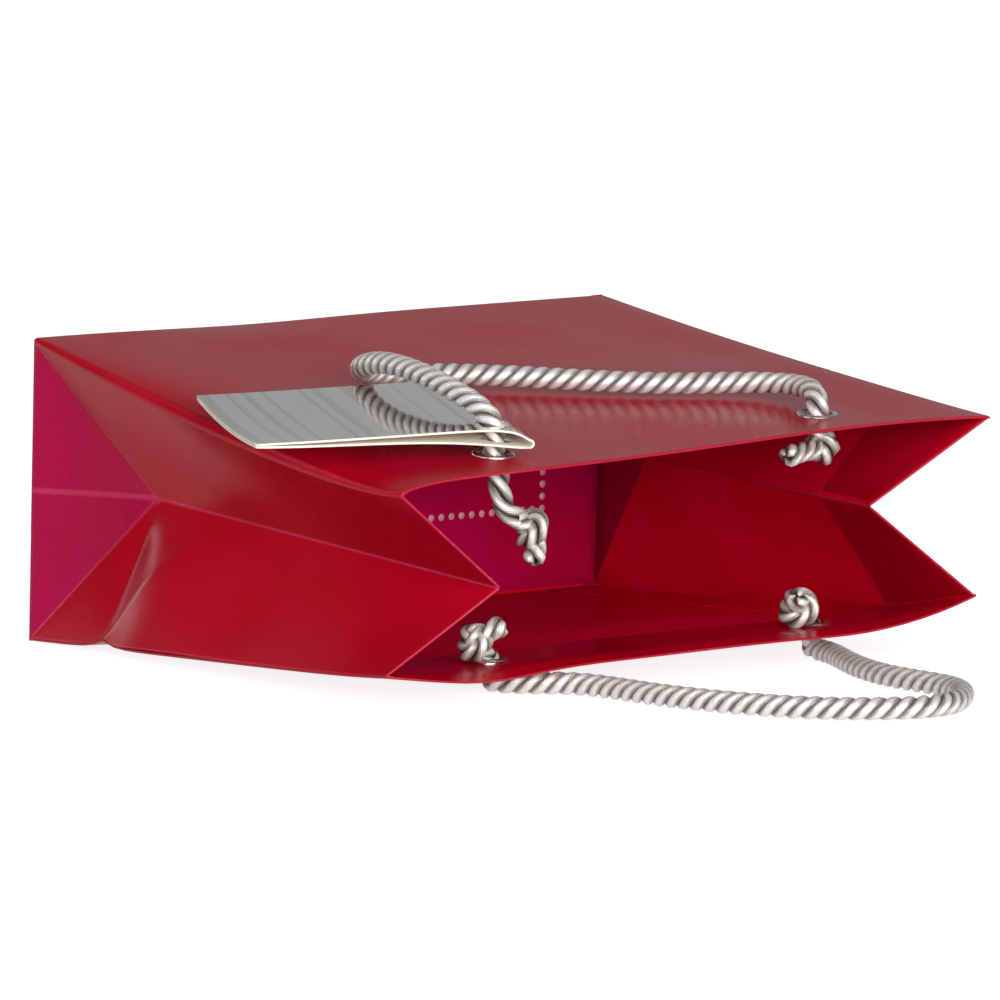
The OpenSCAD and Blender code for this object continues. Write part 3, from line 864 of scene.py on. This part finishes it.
# Gussets. Each side of the bag folds inwards along a centre crease, from a triangle at the base
# to the mouth, where its edge is turned in. The left one is buckled by handling.
gusset_lip_r = 0.28
tucked = 0.12
apex = {-1: Vector((-70.5, 39, 36.5)), 1: Vector((71, 39, 36))}
mouth_crease = {-1: Vector((-55, -74, 26.5)), 1: Vector((51.5, -73, 37))}
edge_turn = math.radians(105)
lip_start = 0.5
front_bulge = 1.2
back_bulge = 0.8
buckle_reach = 140
buckle_top = 0.205
buckle_dent = 1.2
buckle_ridge = 3.2
buckle_rise = 18
buckle_fade = 24


def front_edge(side, t):
    """Where the gusset leaves the front panel's side fold, t of the way to the mouth."""
    v = heel_r + (bag_h - heel_r - lip_start) * t
    radius = front_left_r(v) if side < 0 else side_r
    x = side * (half_w - radius)
    h = front_sag(x, v) - radius * (1 - math.cos(edge_turn))
    return front_face(x + side * (radius * math.sin(edge_turn) - tucked), v, h)


def back_edge(side, t):
    """Where the gusset leaves the back panel's side fold, t of the way to the mouth."""
    v = heel_r + (bag_h - heel_r - lip_start) * t
    x = side * (half_w - side_r)
    h = back_sag(x, v) + side_r * (1 - math.cos(edge_turn))
    return back_face(x + side * (side_r * math.sin(edge_turn) - tucked), v, h)


def buckle_line(t, w):
    """How far past its buckled crease a point of the left gusset's lower half is."""
    return (t - buckle_top * (1 - w)) * buckle_reach


def buckle(side, upper, t, w):
    """How far a gusset half stands out from its flat ruled face: its bulge and its buckles."""
    if upper:
        return front_bulge * math.sin(math.pi * w) * math.sin(math.pi * min(1, t * 1.6 + 0.15))
    if side > 0:
        return back_bulge * math.sin(math.pi * w) * math.sin(math.pi * t)
    off = buckle_line(t, w)
    low = -buckle_dent * math.exp(-abs(off) / 5)
    rise = math.sin(math.pi / 2 * min(1, max(0, off / buckle_rise)))
    ridge = buckle_ridge * rise * math.exp(-((max(0, off - buckle_rise) / buckle_fade) ** 2))
    return (low + ridge) * math.sin(math.pi * min(1, 0.1 + w * 0.9))


def gusset_half(side, upper, name, nodes):
    """Half a gusset, from a panel's side fold to the centre crease, its mouth edge turned in."""
    edge = front_edge if upper else back_edge

    def face(t, w):
        return edge(side, t).lerp(apex[side].lerp(mouth_crease[side], t), w)

    def outward(t, w):
        e = 0.01
        run = face(min(1, t + e), w) - face(max(0, t - e), w)
        rise = face(t, min(1, w + e)) - face(t, max(0, w - e))
        normal = run.cross(rise).normalized()
        return normal if normal.x * side > 0 else -normal

    widths = 22
    rows = [("face", k / 120, 0) for k in range(60)] + [("face", 0.5 + k / 40, 0) for k in range(20)]
    rows += [("face", 0.99, 0)]
    rows += [("lip", 1, angle) for angle in range(0, 181, 45)]
    rows += [("hem", 1 - d / bag_h, 0) for d in (4, 10, 17, 24, hem_d)]

    def place(i, j):
        kind, t, angle = rows[j]
        angle = math.radians(angle)
        w = i / widths
        if kind == "hem":
            w = 0.06 + 0.9 * w
        normal = outward(t, w)
        point = face(t, w) + normal * buckle(side, upper, t, w)
        if kind == "hem":
            return point - normal * 2 * gusset_lip_r
        if kind == "lip":
            ahead = (face(1, w) - face(0.99, w)).normalized()
            rolled = ahead * math.sin(angle) - normal * (1 - math.cos(angle))
            return point + rolled * gusset_lip_r
        return point

    def chart(i, j):
        kind, t, angle = rows[j]
        across = 40 * min(i, widths - i) / widths
        # On the left gusset's lower half the pale crease line, partly a painted highlight, also runs along the buckled
        # crease.
        if side < 0 and not upper:
            across = min(across, 0.3 + abs(buckle_line(t, i / widths)))
        along = {"lip": 0.4, "hem": 5, "face": min(t, 1 - t) * bag_h}[kind]
        return (across + (5 if kind == "hem" else 0), along)

    made = bmesh.new()
    lay_grid(made, widths, len(rows) - 1, place, chart)
    half = paper_sheet(name, made, outward(0.5, 0.5))
    start = Vector((0, mouth_crease[side].y, 8))
    end = start + Vector((0, -0.15, 0.989)) * 40
    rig.blend(half, "bag", "front", start * mm, end * mm)
    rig.replaces(half, *nodes)


red_foot = red_paper("red_paper_foot", (0.34, 0.0007, 0.04, 1), (0.375, 0.0011, 0.054, 1), 0.24, 1, 0.05)


def gusset_foot(side, name, node):
    """The triangle between the base and the diagonal creases, with a crease along its middle."""
    turned = ((3.35, 0.3), (1.75, 0.3), (0.02, 0.66))
    turned_in = len(turned)
    middle_fold = 1.2
    rows = 20
    columns = 24
    low = back_edge(side, 0)
    high = front_edge(side, 0)

    def place(i, j):
        along = i / columns
        if j < turned_in:
            inside, out = turned[j]
            return low.lerp(high, 1.02 * along - 0.01) + base_out * out - Vector((side * inside, 0, 0))
        rise = (j - turned_in) / rows
        fold = -middle_fold * (1 - abs(2 * along - 1)) * math.sin(math.pi * rise)
        return low.lerp(high, along).lerp(apex[side], rise) + Vector((side * fold, 0, 0))

    def chart(i, j):
        along = i / columns
        narrow = 1 - max(0, j - turned_in) / rows
        off = min(along, 1 - along, abs(along - 0.5) * 0.7)
        return (off * bag_d * narrow, abs(j - turned_in) * 2.4 + 0.4)

    made = bmesh.new()
    lay_grid(made, columns, rows + turned_in, place, chart)
    bmesh.ops.remove_doubles(made, verts=made.verts, dist=1e-6)
    foot = paper_sheet(name, made, Vector((side, 0, 0)), outside=red_foot, inside=base_card)
    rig.ride(foot, "bag")
    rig.replaces(foot, node)


for side, word in ((-1, "left"), (1, "right")):
    front_nodes = (f"{word}_gusset_front", f"{word}_gusset_front_hem")
    back_nodes = (f"{word}_gusset_back", f"{word}_gusset_back_hem")
    gusset_half(side, True, f"{word}_gusset_upper", front_nodes)
    gusset_half(side, False, f"{word}_gusset_lower", back_nodes)
    gusset_foot(side, f"{word}_gusset_triangle", f"{word}_gusset_foot")

# Side seam. The lap that closes the sheet into a tube, of the same red paper, glued inside the
# back panel along its right fold.
seam_low, seam_high = (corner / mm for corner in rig.box("side_seam_flap"))
seam_across = 4
seam_along = 24


def seam_place(i, j):
    """A point of the lap, on the sagging back panel."""
    x = seam_low.x + (seam_high.x - seam_low.x) * i / seam_across
    v = heel_y - seam_high.y + (seam_high.y - seam_low.y) * j / seam_along
    return back_pt(x, v, back_sag(x, v) + 2 * paper_t + glue_t)


def seam_chart(i, j):
    """Distances from the lap's edges."""
    return (3 * min(i, seam_across - i), 4 * min(j, seam_along - j))


made = bmesh.new()
lay_grid(made, seam_across, seam_along, seam_place, seam_chart)
seam = paper_sheet("side_seam_lap", made, back_in, outside=red_inside_painted_light, rim=red_inside_painted_light)
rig.ride(seam, "bag")
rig.replaces(seam, "side_seam_flap")

# Eyelets. Nickel-plated rings: a domed flange outside the lip, a barrel through the paper and
# card, and a rolled rim inside.
bore_r = 3.2
flange_r = 5
stack_t = 1.6
eyelet_metal, wire = finish("eyelet_metal")
rub = wire.noise(700, 4)
wire.surface({
    "Base Color": rub.mix((0.62, 0.60, 0.57, 1), (0.80, 0.78, 0.75, 1)),
    "Metallic": 1,
    "Roughness": 0.18 + rub * 0.2,
    "Normal": wire.bump(rub, 0.08, 0.0001),
})
ring_outline = [
    (bore_r, -stack_t - 0.5), (bore_r, -0.3), (bore_r + 0.15, 0.15), (bore_r + 0.5, 0.45),
    (bore_r + 0.95, 0.55), (flange_r - 0.35, 0.42), (flange_r - 0.08, 0.22), (flange_r, -0.1),
    (bore_r + 0.4, -0.1), (bore_r + 0.4, -stack_t), (bore_r + 1.3, -stack_t - 0.05),
    (bore_r + 1.5, -stack_t - 0.35), (bore_r + 1.3, -stack_t - 0.75), (bore_r + 0.8, -stack_t - 0.9),
    (bore_r + 0.3, -stack_t - 0.8),
]


def eyelet(node, body, centre, outward):
    """A ring spun from its cross-section, with its flange on the outward side."""
    made = bmesh.new()
    ring = [made.verts.new(Vector((r, 0, h)) * mm) for r, h in ring_outline]
    edges = [made.edges.new((ring[k - 1], ring[k])) for k in range(len(ring))]
    whole = {"cent": (0, 0, 0), "axis": (0, 0, 1), "angle": math.tau, "steps": 40, "use_merge": True}
    bmesh.ops.spin(made, geom=ring + edges, **whole)
    bmesh.ops.recalc_face_normals(made, faces=made.faces)
    turned = Vector((0, 0, 1)).rotation_difference(outward).to_matrix()
    bmesh.ops.rotate(made, matrix=turned, verts=made.verts)
    bmesh.ops.translate(made, vec=centre * mm, verts=made.verts)
    shown = piece(node + "_ring", made, eyelet_metal, sharp=50)
    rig.ride(shown, body)
    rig.replaces(shown, node)
    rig.slot(shown, "eyelet_metal")


for side, word in ((-1, "left"), (1, "right")):
    x = side * eyelet_x
    eyelet(f"front_{word}_eyelet", "front", front_pt(x, eyelet_v, front_sag(x, eyelet_v)), front_out)
    eyelet(f"back_{word}_eyelet", "bag", back_pt(x, eyelet_v, back_sag(x, eyelet_v)), -back_in)

# Tag. A folded card hung on the front cord through a hole near its fold, silver foil outside and
# cream card inside. The cord holds its leaves apart near the fold, and they close to the free end.
tag_l = 65
tag_w = 50
tag_t = 0.5
spine_r = 1.1
tag_turn = math.radians(-18.5)
tag_hole_fold = 6.5
tag_hole_edge = 6
tag_hole_r = 3.3
tag_h = 0.9
leaf_curl = 1.4
lower_arch = 7.6
spine_dip = 9
upper_arch = 3.2
foil_card, wire = finish("foil_card")
tag_run = wire.chart("X")
grain = {"W": tag_run, "Scale": 0.3, "Detail": 4}
streak = wire.node("ShaderNodeTexNoise", {"noise_dimensions": "1D"}, grain)
haze = wire.noise(120, 3)
wire.surface({
    "Base Color": streak.ramp(0.36, 0.5).mix((0.60, 0.60, 0.59, 1), (0.76, 0.755, 0.74, 1)),
    "Metallic": 1,
    "Roughness": 0.05 + haze * 0.05,
    "Normal": wire.bump(haze, 0.04, 0.0006),
})
cream_card, wire = finish("cream_card")
card_grain = wire.noise(2200, 4)
wire.surface({
    "Base Color": card_grain.mix((0.70, 0.61, 0.50, 1), (0.82, 0.75, 0.66, 1)),
    "Roughness": 0.8,
    "Normal": wire.bump(card_grain, 0.2, 0.0001),
})
tag_frame = Matrix.Rotation(front_fall, 3, "X") @ Matrix.Rotation(tag_turn, 3, "Z")
tag_corner = Vector((tag_hole_fold, tag_w / 2 - tag_hole_edge, tag_h))
tag_origin = front_pt(-eyelet_x, eyelet_v, 0)


def tag_pt(x, y, z):
    """A point x from the tag's fold, y across it and z above its lower face."""
    return tag_origin + tag_frame @ (tag_corner + Vector((x, y, z)))


leaf_steps = 30
leaf_run = tag_l - spine_r
lower_outline = []
for k in range(leaf_steps + 1):
    run = 1 - k / leaf_steps
    rise = lower_arch * run * (1 - run) ** 2 - spine_dip * run * math.exp(-run * 12)
    lower_outline.append((-leaf_run * run, rise))
upper_outline = []
for k in range(9):
    angle = math.pi * k / 8 - math.pi / 2
    upper_outline.append((spine_r * math.cos(angle), spine_r + spine_r * math.sin(angle)))
for k in range(1, leaf_steps + 1):
    run = k / leaf_steps
    arch = upper_arch * (1 - math.exp(-run * 15)) * (1 - run) ** 1.2
    upper_outline.append((-leaf_run * run, 2 * spine_r * (1 - run) + 2.1 * tag_t * run + arch))


def tag_leaf(name, outline, outward, streaks, node):
    """A leaf of the card from its outer face's outline, streaked from a start, with the hole punched."""
    across = 20

    def place(i, j):
        x, z = outline[j]
        curl = leaf_curl * (1 - (2 * i / across - 1) ** 2) * max(0, -x / tag_l) ** 4
        return tag_pt(x, tag_w * (i / across - 0.5), z - curl)

    def chart(i, j):
        return (streaks - outward * outline[j][0], tag_w * i / across)

    made = bmesh.new()
    lay_grid(made, across, len(outline) - 1, place, chart)
    leaf = paper_sheet(name, made, Vector((0, 0, outward)), tag_t, foil_card, cream_card, cream_card)
    made = bmesh.new()
    hole_centre = tag_pt(-tag_hole_fold, tag_hole_edge - tag_w / 2, 2) * mm
    hole_at = Matrix.Translation(hole_centre) @ tag_frame.to_4x4()
    hole_size = {"radius1": tag_hole_r * mm, "radius2": tag_hole_r * mm, "depth": 14 * mm}
    bmesh.ops.create_cone(made, cap_ends=True, segments=36, matrix=hole_at, **hole_size)
    punch = piece("tag_punch", made, cream_card)
    hole = leaf.modifiers.new("hole", "BOOLEAN")
    hole.object = punch
    hole.solver = "EXACT"
    hole.material_mode = "TRANSFER"
    punched = leaf.evaluated_get(bpy.context.evaluated_depsgraph_get())
    leaf.data = bpy.data.meshes.new_from_object(punched)
    leaf.modifiers.clear()
    bpy.data.objects.remove(punch)
    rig.replaces(leaf, node)
    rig.slot(leaf, "foil_card")
    return leaf


tag_lower = tag_leaf("tag_lower", lower_outline, -1, 65, "tag_lower_leaf")
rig.ride(tag_lower, "tag")
tag_upper = tag_leaf("tag_upper", upper_outline, 1, 82.3, "tag_upper_leaf")
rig.blend(tag_upper, "tag", "tag_cover", tag_pt(-0.1, 0, 0) * mm, tag_pt(-3, 0, 0) * mm)

# Floor and light. A pale floor that the camera sees as white apart from the shadow, a dim
# surround, and broad soft lamps: two before the mouth, one at the left and two cards behind.
floor_pale, wire = finish("floor")
seen = wire.node("ShaderNodeLightPath", output="Is Camera Ray")
seen = seen + wire.node("ShaderNodeLightPath", output="Is Glossy Ray")
seen = seen + wire.node("ShaderNodeLightPath", output="Is Transmission Ray")
wire.surface({
    "Base Color": (0.6, 0.6, 0.6, 1),
    "Roughness": 0.9,
    "Specular IOR Level": 0,
    "Emission Color": wire.math("MINIMUM", seen, 1).mix((0, 0, 0, 1), (1, 1, 1, 1)),
    "Emission Strength": 0.84,
})
made = bmesh.new()
bmesh.ops.create_grid(made, x_segments=1, y_segments=1, size=20)
floor = piece("floor", made, floor_pale)
floor.location.z = -0.0002
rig.stage(floor)
world = bpy.data.worlds.new("surround")
world.use_nodes = True
world.node_tree.nodes["Background"].inputs["Color"].default_value = (0.18, 0.18, 0.184, 1)
bpy.context.scene.world = world


def lamp(name, place, aim, width, height, power):
    """A broad soft lamp at a place, turned to a point."""
    data = bpy.data.lights.new(name, "AREA")
    data.shape = "RECTANGLE"
    data.size = width
    data.size_y = height
    data.energy = power
    shown = bpy.data.objects.new(name, data)
    shown.location = place
    shown.rotation_euler = (Vector(aim) - Vector(place)).to_track_quat("-Z", "Y").to_euler()
    bpy.context.scene.collection.objects.link(shown)
    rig.stage(shown)


lamp("high_front", (-0.5, -1.95, 0.95), (0, 0, 0.02), 2.4, 1.2, 34)
lamp("low_front", (-0.8, -2.05, 0.28), (0, 0, 0.03), 2.6, 0.52, 43)
lamp("left", (-1.7, 0.1, 0.6), (0, 0, 0.03), 1.0, 0.8, 5)
lamp("behind", (0.7, 2.2, 0.9), (0, 0, 0.05), 3.2, 1.4, 3.0)
lamp("behind_left", (-0.5, 2.35, 0.4), (0, 0, 0.03), 0.95, 0.6, 6)
bpy.context.scene.view_settings.view_transform = "Standard"

visual_box = [list(corner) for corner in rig.bounds()]
with open("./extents.json", "w") as size_file:
    json.dump({"cad": cad_box, "visual": visual_box}, size_file)
